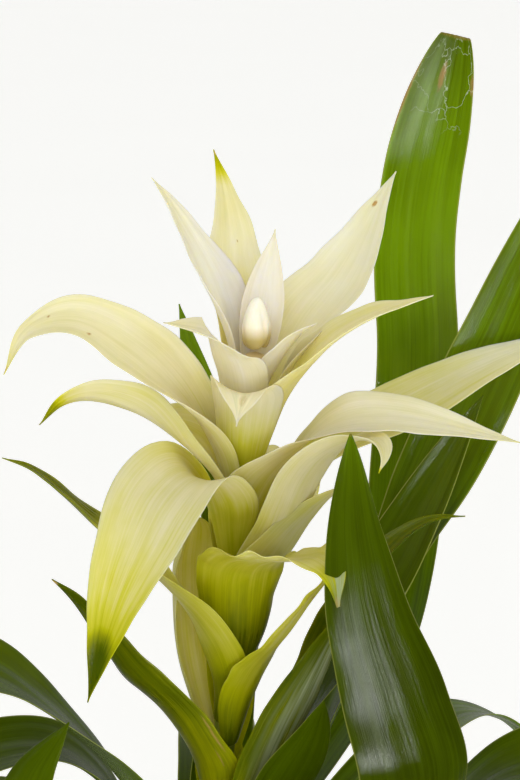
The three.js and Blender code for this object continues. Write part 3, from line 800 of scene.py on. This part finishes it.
rosetteLeaves = [
    {"azimuth": 355, "base": 64, "width": 32, "wrap": 46, "twist": 65,
     "route": [(36, 150, 2), (58, 204, 7), (80, 254, 18), (99, 297, 24)]},
    {"azimuth": 303, "base": 61, "width": 28, "wrap": 27, "twist": -20,
     "route": [(30, 113, 5), (43, 136, 9), (53, 155, 10), (60, 172, 9)]},
    {"azimuth": 100, "base": 58, "width": 28, "wrap": 46, "twist": -10,
     "route": [(38, 126, -6), (53, 168, -8), (61, 210, -8), (67, 248), (74, 282, 11), (80, 318, 22)],
     "green": [(0, 0.6), (0.7, 0.6), (1, 1.0)]},
    {"azimuth": 8, "base": 55, "width": 40, "wrap": 36, "twist": 72,
     "route": [(42, 136), (67, 206, 7), (82, 241, 14), (108, 309, 20), (122, 350, 21), (138, 396, 21),
               (158, 436, 21)],
     "green": [(0, 0.7), (0.25, 0.58), (1, 0.68)]},
    {"azimuth": 312, "base": 51.5, "width": 54, "wrap": 38, "twist": -28,
     "outline": lanceOutline,
     "route": [(32, 102, 3), (60, 114, 8), (97, 120, 12), (110, 148, 10), (102, 182, 1), (92, 216, -9),
               (84, 248, -13), (73, 290, -11)],
     "green": [(0, 0.5), (0.25, 0.08), (0.75, 0.12), (0.92, 0.36), (1, 0.7)],
     "patches": [mark("dry", 0.999, 0.0, 0.004, 1.0, 0.5),
                 mark("dry", 0.62, 0.35, 0.004, 0.04, 0.6)]},
    {"azimuth": 38, "base": 48.5, "width": 38, "wrap": 38, "twist": 48,
     "outline": {"base": 0.9, "peak": 0.6, "fall": 7, "point": 1.0, "end": 0.37},
     "route": [(54, 130, -6), (82, 177, -12), (99, 255, 4), (103, 308, 11), (102, 350, 18), (105, 387, 20),
               (110, 449, 12)],
     # the lighter green round 0.78 of the way up is a painted sheen
     "green": [(0, 0.8), (0.25, 0.66), (0.6, 0.7), (0.78, 1.0), (0.9, 0.78), (1, 0.5)],
     "patches": [mark("dry", 0.93, 0.99, 0.05, 0.07, 0.75),
                 mark("dry", 0.955, 0.1, 0.02, 0.12, 0.7),
                 mark("dry", 0.952, -0.95, 0.014, 0.1, 0.7),
                 mark("dry", 1.0, 0.0, 0.004, 2.0, 0.5),
                 mark("scuffAndSheen", 0.955, -0.2, 0.055, 1.3, 0.5)]},
    {"azimuth": 212, "base": 45.5, "width": 44, "twist": -30,
     "route": [(36, 102, 20), (58, 127, 20), (77, 148, 13), (96, 165, 5), (112, 176, -3), (134, 182, -13),
               (166, 166, -30), (194, 126, -46)],
     "green": [(0, 0.7), (0.25, 0.52), (1, 0.5)]},
    {"azimuth": 92, "base": 43, "width": 38, "wrap": 34,
     "route": [(46, 96), (92, 110), (140, 102), (186, 68), (215, 22)]},
    {"azimuth": 192, "base": 40, "width": 42, "twist": -20,
     "route": [(36, 92, 2), (54, 118), (74, 131, -3), (98, 128, -9), (128, 108, -16), (170, 60, -24)]},
    {"azimuth": 345, "base": 37, "width": 42, "twist": 40,
     "route": [(56, 90), (92, 112, 2), (126, 142, 8), (158, 149, 14), (200, 114, 20), (232, 56, 24)]},
    {"azimuth": 160, "base": 34, "width": 40,
     "route": [(56, 78), (104, 90), (156, 78), (200, 38), (228, -12)]},
    {"azimuth": 38, "base": 31, "width": 38, "wrap": 34,
     "route": [(58, 76, 4), (118, 108, 16), (164, 122, 24), (198, 112, 24), (224, 88, 22)],
     "green": [(0, 0.7), (0.4, 0.6), (1, 0.65)]},
    {"azimuth": 240, "base": 28, "width": 40,
     "route": [(64, 78), (116, 106), (146, 132, -6), (152, 156), (148, 182, 14)]},
    {"azimuth": 110, "base": 25, "width": 40,
     "route": [(66, 66), (120, 68), (170, 48), (212, 8), (236, -42)]},
    {"azimuth": 292, "base": 22, "width": 40,
     "route": [(64, 66), (114, 74), (164, 58), (202, 20), (222, -32)]},
    {"azimuth": 328, "base": 19, "width": 38,
     "route": [(70, 58), (124, 62), (172, 44), (210, 2), (230, -50)]},
    {"azimuth": 15, "base": 16, "width": 40,
     "route": [(70, 56), (126, 62), (178, 42), (218, 0), (240, -50)]},
    {"azimuth": 140, "base": 13, "width": 38,
     "route": [(70, 48), (122, 50), (168, 26), (204, -16), (222, -64)]},
    {"azimuth": 262, "base": 10, "width": 38,
     "route": [(68, 42), (116, 40), (160, 14), (192, -28), (206, -74)]},
    {"azimuth": 215, "base": 7, "width": 36,
     "route": [(68, 34), (114, 30), (154, 4), (184, -36), (196, -78)]},
    {"azimuth": 65, "base": 4, "width": 36,
     "route": [(68, 30), (112, 26), (150, 0), (178, -38), (190, -78)]},
]

makeTier(rosetteLeaves, "strapLeaf", "rosette_leaf_", leafDefaults, 61)


# Stalk, buds and root ball are turned from a circle that is drawn up level by level

def turned(name, levels, sides, smoothing):
    bpy.ops.object.select_all(action="DESELECT")
    start, radius = levels[0]
    bpy.ops.mesh.primitive_circle_add(vertices=sides, radius=radius * mm, fill_type="NGON",
                                      location=(0, 0, 0))
    piece = bpy.context.object
    piece.name = piece.data.name = name
    bpy.ops.object.mode_set(mode="EDIT")
    bpy.ops.mesh.select_all(action="SELECT")
    bpy.ops.transform.translate(value=(0, 0, start * mm))
    for (low, radius), (high, nextRadius) in zip(levels, levels[1:]):
        bpy.ops.mesh.extrude_region_move(TRANSFORM_OT_translate={"value": (0, 0, (high - low) * mm)})
        share = nextRadius / radius
        bpy.ops.transform.resize(value=(share, share, 1), center_override=(0, 0, high * mm))
    bpy.ops.mesh.select_all(action="SELECT")
    bpy.ops.mesh.normals_make_consistent(inside=False)
    bpy.ops.object.mode_set(mode="OBJECT")
    applied(piece, "SUBSURF", levels=smoothing, render_levels=smoothing)
    bpy.ops.object.shade_smooth()
    return piece


def placed(piece, node, finish, replacing=True):
    piece.data.materials.append(finishes[finish])
    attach(piece, "root")
    if replacing:
        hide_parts(node)


def plainFinish(name, look):
    # three tones by noise drawn out along Z, with matching bump
    material, tree, skin = newFinish(name)
    own = addNode(tree, "TexCoord").outputs["Object"]
    along = addNode(tree, "Mapping", {"Vector": own, "Scale": look["stretch"]}).outputs["Vector"]
    coarse = grain(tree, along, look["coarse"], 4, 0.6)
    fine = grain(tree, along, look["fine"], 4, 0.65)
    amount = summed(tree, product(tree, coarse, 0.6), product(tree, fine, 0.4))
    tone = ramp(tree, amount, look["tones"])
    # a band of another tone by height: the stalk's tan top, and at the buds' foot an ochre that is the bud's
    # own colour and painted shade of the hollow it sits in
    if "tip" in look:
        height = addNode(tree, "SeparateXYZ", {"Vector": own}).outputs["Z"]
        tone = blended(tree, ranged(tree, height, *look["tipHeights"], 0.0, 1.0), tone, look["tip"])
    low, high = look["roughness"]
    setInputs(skin, {
        "Base Color": tone, "Roughness": ranged(tree, fine, 0.3, 0.7, low, high),
        "Normal": bumped(tree, amount, look["bump"]), "Specular IOR Level": look["gloss"],
        "Subsurface Weight": look["scatter"], "Subsurface Radius": (1.0, 0.8, 0.4),
        "Subsurface Scale": 0.0015,
    })
    return material


plainLooks = {
    "stalkSkin": {"stretch": (1, 1, 0.08), "coarse": 260, "fine": 900, "roughness": (0.4, 0.6),
                  "bump": 0.0004, "gloss": 0.3, "scatter": 0.1,
                  "tip": (0.74, 0.58, 0.26), "tipHeights": (0.37, 0.39),
                  "tones": [(0.3, (0.12, 0.16, 0.01)), (0.5, (0.24, 0.28, 0.03)), (0.7, (0.40, 0.42, 0.10))]},
    "budSkin": {"stretch": (1, 1, 0.2), "coarse": 180, "fine": 1200, "roughness": (0.3, 0.45),
                "bump": 0.0001, "gloss": 0.2, "scatter": 0.9,
                # ochre below these heights, at the foot: the bud's own ochre and painted shade of the hollow
                "tip": (0.60, 0.50, 0.20), "tipHeights": (0.4165, 0.4105),
                "tones": [(0.3, (0.93, 0.86, 0.68)), (0.5, (0.95, 0.90, 0.76)), (0.7, (0.97, 0.94, 0.84))]},
    "peat": {"stretch": (1, 1, 1), "coarse": 120, "fine": 1100, "roughness": (0.8, 0.97),
             "bump": 0.0016, "gloss": 0.2, "scatter": 0.0,
             "tones": [(0.34, (0.012, 0.007, 0.004)), (0.5, (0.045, 0.026, 0.014)),
                       (0.66, (0.14, 0.085, 0.045))]},
    "rootSkin": {"stretch": (1, 1, 0.3), "coarse": 300, "fine": 1500, "roughness": (0.6, 0.85),
                 "bump": 0.0003, "gloss": 0.25, "scatter": 0.1,
                 "tones": [(0.3, (0.16, 0.095, 0.05)), (0.5, (0.34, 0.23, 0.13)), (0.7, (0.56, 0.43, 0.28))]},
}
for name, look in plainLooks.items():
    finishes[name] = plainFinish(name, look)

stalk = turned("flowerStalk", stemProfile, 28, 2)
for vertex in stalk.data.vertices:
    height = vertex.co.z / mm
    bearing = math.atan2(vertex.co.y, vertex.co.x)
    ribs = 1 + 0.03 * math.sin(bearing * 7 + height / 40)
    ribs += 0.03 * noise.noise(Vector((bearing * 2, height / 9, 4)))
    vertex.co.x *= ribs
    vertex.co.y *= ribs
stalk.data.transform(plantPlace)
placed(stalk, "flower_stem", "stalkSkin")

buds = [
    {"name": "frontBud", "node": "front_flower_bud", "place": (-0.8, -3.8), "height": 23, "radius": 6.0,
     "turn": 0.3},
    {"name": "leftBud", "node": "left_flower_bud", "place": (-3.8, 3.9), "height": 16, "radius": 2.6,
     "turn": 1.4},
    {"name": "rightBud", "node": "right_flower_bud", "place": (3.6, 3.7), "height": 14, "radius": 2.6,
     "turn": 2.2},
]
budFoot = 312  # mm above the soil
budShares = [0.004, 0.03, 0.08, 0.16, 0.26, 0.38, 0.5, 0.62, 0.73, 0.83, 0.91, 0.97, 0.995]

for bud in buds:
    girths = [(budFoot + bud["height"] * share, bud["radius"] * math.sin(math.pi * share ** 0.82) ** 0.48)
              for share in budShares]
    piece = turned(bud["name"], girths, 24, 2)
    for vertex in piece.data.vertices:
        share = (vertex.co.z / mm - budFoot) / bud["height"]
        bearing = math.atan2(vertex.co.y, vertex.co.x) + share * 1.1 + bud["turn"]
        furrow = 1 - 0.12 * (0.5 + 0.5 * math.cos(bearing * 3)) ** 6 * math.sin(math.pi * min(1, share))
        vertex.co.x = vertex.co.x * furrow + bud["place"][0] * mm
        vertex.co.y = vertex.co.y * furrow + bud["place"][1] * mm
    piece.data.transform(plantPlace)
    placed(piece, bud["node"], "budSkin")
print("stalk and buds made")


# Root ball of peat with crumbs, and roots that run down its side

ballLevels = [
    (0, 39), (1.2, 41), (3, 42), (10, 43), (17, 44.2), (24, 45.2), (31, 46), (38, 46.8), (46, 47.6),
    (53, 48.4), (60, 49.2), (68, 50), (75, 51), (82, 52), (87, 51.2), (90, 49.5), (92.4, 46.5), (94, 43),
    (94.6, 34), (94.7, 22), (94.8, 10),
]
ball = turned("rootBall", ballLevels, 72, 2)
for vertex in ball.data.vertices:
    height = vertex.co.z / mm
    bearing = math.atan2(vertex.co.y, vertex.co.x)
    free = eased(height, 0.5, 6)
    lumps = 1.3 * (math.sin(5 * bearing + height / 11) + math.sin(3 * bearing - height / 17 + 1))
    spot = vertex.co / mm
    lumps += 1.5 * noise.noise(spot / 9) + 0.9 * noise.noise(spot / 3.2) + 0.5 * noise.noise(spot / 1.4)
    outward = Vector((vertex.co.x, vertex.co.y, 0))
    if outward.length > 0:
        vertex.co += outward.normalized() * lumps * 0.8 * mm * free * min(1, outward.length / (30 * mm))
    crust = 1.2 * noise.noise(spot / 7) + 0.6 * noise.noise(spot / 2.5) - 0.6
    vertex.co.z += eased(height, 88, 94) * crust * mm
placed(ball, "root_ball", "peat")

randomNumbers = random.Random(12)


def joined(pieces, name):
    # the first piece takes in the others
    bpy.ops.object.select_all(action="DESELECT")
    for piece in pieces:
        piece.select_set(True)
    bpy.context.view_layer.objects.active = pieces[0]
    bpy.ops.object.join()
    pieces[0].name = pieces[0].data.name = name
    return pieces[0]


def sideRadius(height):
    heights, radii = zip(*ballLevels)
    return float(np.interp(height, heights, radii))


crumbCount = 420
bpy.ops.object.select_all(action="DESELECT")
bpy.ops.mesh.primitive_ico_sphere_add(subdivisions=1, radius=1 * mm)
crumb = bpy.context.object
crumbs = []
for index in range(crumbCount):
    bearing = randomNumbers.uniform(0, math.tau)
    size = randomNumbers.uniform(0.5, 1.7)
    if index % 2:
        height = 94.6
        reach = 20 + 27 * math.sqrt(randomNumbers.random())
    else:
        height = randomNumbers.uniform(3, 90)
        reach = sideRadius(height) + 0.2
    copy = crumb.copy()
    copy.data = crumb.data.copy()
    scene.collection.objects.link(copy)
    width = size * randomNumbers.uniform(0.6, 1)
    squash = Matrix.Diagonal((size, width, size * randomNumbers.uniform(0.5, 0.9), 1))
    spin = Matrix.Rotation(randomNumbers.uniform(0, math.tau), 4, "Z")
    spot = Matrix.Translation((math.cos(bearing) * reach * mm, math.sin(bearing) * reach * mm, height * mm))
    copy.data.transform(spot @ spin @ squash)
    crumbs.append(copy)
crumb.data.transform(Matrix.Translation((30 * mm, 25 * mm, 94.5 * mm)))
joined([crumb, *crumbs], "peatCrumbs")
placed(crumb, "root_ball", "peat", replacing=False)

rootCount = 46
strands = []
for index in range(rootCount):
    bearing = math.tau * index / rootCount + randomNumbers.uniform(-0.06, 0.06)
    height = randomNumbers.uniform(60, 91)
    drop = randomNumbers.uniform(30, 75)
    drift = randomNumbers.uniform(-0.5, 0.5)
    wander = randomNumbers.uniform(0, 9)
    bpy.ops.object.select_all(action="DESELECT")
    bpy.ops.curve.primitive_nurbs_path_add(location=(0, 0, 0))
    strand = bpy.context.object
    path = strand.data.splines[0]
    path.points.add(4)
    path.use_endpoint_u = True
    count = len(path.points)
    for step, point in enumerate(path.points):
        share = step / (count - 1)
        level = max(2.0, height - drop * share)
        angle = bearing + drift * share + 0.10 * math.sin(share * 7 + wander)
        reach = sideRadius(level) + 0.5 + 0.5 * math.sin(share * 9 + wander)
        if share in (0, 1):
            reach -= 2.2
        point.co = (math.cos(angle) * reach * mm, math.sin(angle) * reach * mm, level * mm, 1)
        point.radius = 1.25 - 0.9 * share
    strand.data.dimensions = "3D"
    strand.data.bevel_depth = randomNumbers.uniform(0.45, 0.8) * mm
    strand.data.bevel_resolution = 1
    strand.data.resolution_u = 4
    strand.data.use_fill_caps = True
    bpy.ops.object.convert(target="MESH")
    strands.append(bpy.context.object)
roots = joined(strands, "sideRoots")
bpy.ops.object.shade_smooth()
placed(roots, "root_ball", "rootSkin", replacing=False)
print("root ball, crumbs and roots made")
